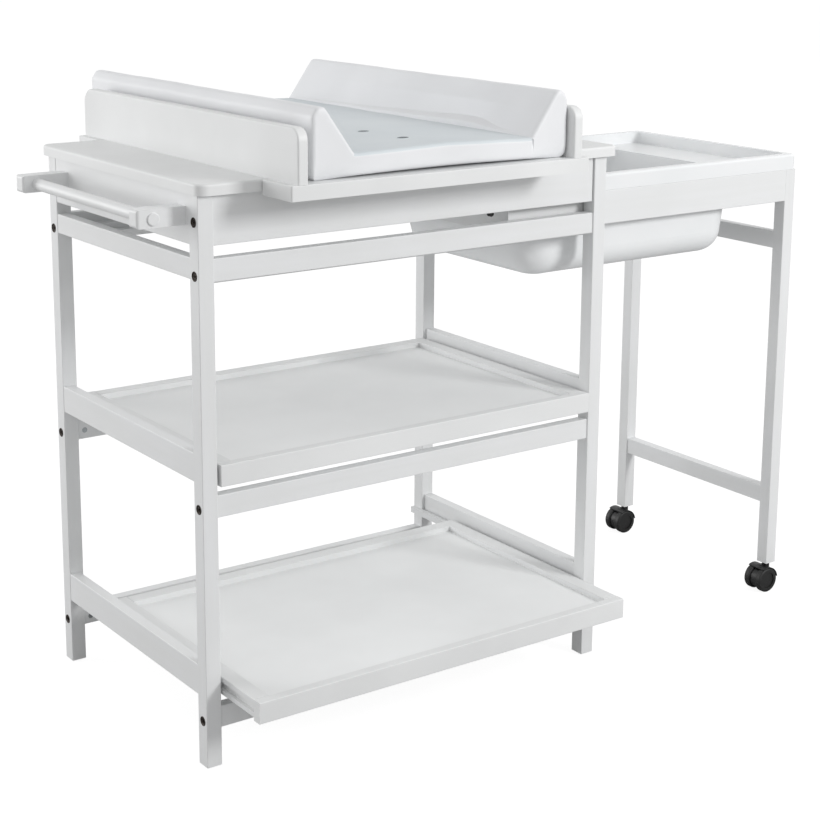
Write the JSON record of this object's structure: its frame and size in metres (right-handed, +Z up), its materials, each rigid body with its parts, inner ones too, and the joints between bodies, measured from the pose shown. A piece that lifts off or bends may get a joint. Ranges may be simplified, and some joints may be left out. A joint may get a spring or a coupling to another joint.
{
  "type": "changing table with pull-out bathtub",
  "caption": "White open-frame changing table with a wedge-sided pad, sliding trays, a towel rail and a bathtub on a wheeled pull-out stand.",
  "frame": {"origin": "on the floor under the middle of the whole object's bounding box, bath stand pulled out", "axes": "+Z up, +X towards the pulled-out bath, +Y from the front of the table to its back"},
  "size_m": [1.4156, 0.793, 1.0633],
  "materials": {
    "white_wood": "satin",
    "white_panel": "satin",
    "zinc_steel": "satin",
    "grey_plastic": "matte",
    "black_rubber": "matte",
    "black_plastic": "satin",
    "tub_plastic": "gloss",
    "pad_cover": "satin"
  },
  "bodies": {
    "table": {"front_left_post": "white_wood", "front_right_post": "white_wood", "back_left_post": "white_wood", "back_right_post": "white_wood", "front_apron": "white_wood", "front_upper_rail": "white_wood", "front_mid_rail": "white_wood", "front_low_rail": "white_wood", "back_apron": "white_wood", "back_upper_rail": "white_wood", "back_mid_rail": "white_wood", "back_low_rail": "white_wood", "left_apron": "white_wood", "left_upper_rail": "white_wood", "left_mid_rail": "white_wood", "left_low_rail": "white_wood", "right_mid_rail": "white_wood", "right_low_rail": "white_wood", "worktop": "white_wood", "tray_runners": "white_wood", "bath_front_runner": "white_wood", "bath_back_runner": "white_wood", "front_towel_bracket": "white_wood", "back_towel_bracket": "white_wood", "towel_rod": "white_wood", "frame_bolts": "zinc_steel", "barrel_nuts": "zinc_steel", "foot_glides": "grey_plastic", "bath_buffer": "black_rubber"},
    "middle_tray": {"middle_tray_front": "white_wood", "middle_tray_back": "white_wood", "middle_tray_left_side": "white_wood", "middle_tray_right_side": "white_wood", "middle_tray_floor": "white_panel"},
    "lower_tray": {"lower_tray_front": "white_wood", "lower_tray_back": "white_wood", "lower_tray_left_side": "white_wood", "lower_tray_right_side": "white_wood", "lower_tray_floor": "white_panel"},
    "platform": {"left_panel": "white_wood", "right_panel": "white_wood", "front_board": "white_wood", "back_board": "white_wood"},
    "pad": {"changing_pad": "pad_cover"},
    "bath_stand": {"bath_front_rail": "white_wood", "bath_back_rail": "white_wood", "bath_left_rail": "white_wood", "bath_right_rail": "white_wood", "bath_upper_crossbar": "white_wood", "bath_lower_crossbar": "white_wood", "bath_front_leg": "white_wood", "bath_back_leg": "white_wood", "bath_fittings": "zinc_steel"},
    "bath_tub": {"tub": "tub_plastic"},
    "front_caster": {"front_caster_body": "black_plastic", "front_caster_pins": "zinc_steel"},
    "front_wheels": {"front_caster_wheels": "black_plastic"},
    "back_caster": {"back_caster_body": "black_plastic", "back_caster_pins": "zinc_steel"},
    "back_wheels": {"back_caster_wheels": "black_plastic"}
  },
  "joints": [
    {"name": "middle_tray_slide", "type": "slide", "parent": "table", "child": "middle_tray", "axis": [0, -1, 0], "range_m": [0, 0.3]},
    {"name": "lower_tray_slide", "type": "slide", "parent": "table", "child": "lower_tray", "axis": [0, -1, 0], "range_m": [-0.108, 0.192]},
    {"name": "bath_slide", "type": "slide", "parent": "table", "child": "bath_stand", "axis": [1, 0, 0], "range_m": [-0.455, 0]},
    {"name": "platform_lift", "type": "slide", "parent": "table", "child": "platform", "axis": [0, 0, 1], "range_m": [0, 0.08]},
    {"name": "pad_lift", "type": "slide", "parent": "platform", "child": "pad", "axis": [0, 0, 1], "range_m": [0, 0.15]},
    {"name": "tub_lift", "type": "slide", "parent": "bath_stand", "child": "bath_tub", "axis": [0, 0, 1], "range_m": [0, 0.035]},
    {"name": "front_caster_swivel", "type": "hinge", "parent": "bath_stand", "child": "front_caster", "pos_m": [0.69475, -0.239, 0.05], "axis": [0, 0, 1], "continuous": true},
    {"name": "front_wheel_roll", "type": "hinge", "parent": "front_caster", "child": "front_wheels", "pos_m": [0.68075, -0.239, 0.025], "axis": [0, 1, 0], "continuous": true},
    {"name": "back_caster_swivel", "type": "hinge", "parent": "bath_stand", "child": "back_caster", "pos_m": [0.69475, 0.1825, 0.05], "axis": [0, 0, 1], "continuous": true},
    {"name": "back_wheel_roll", "type": "hinge", "parent": "back_caster", "child": "back_wheels", "pos_m": [0.68075, 0.1825, 0.025], "axis": [0, 1, 0], "continuous": true}
  ]
}
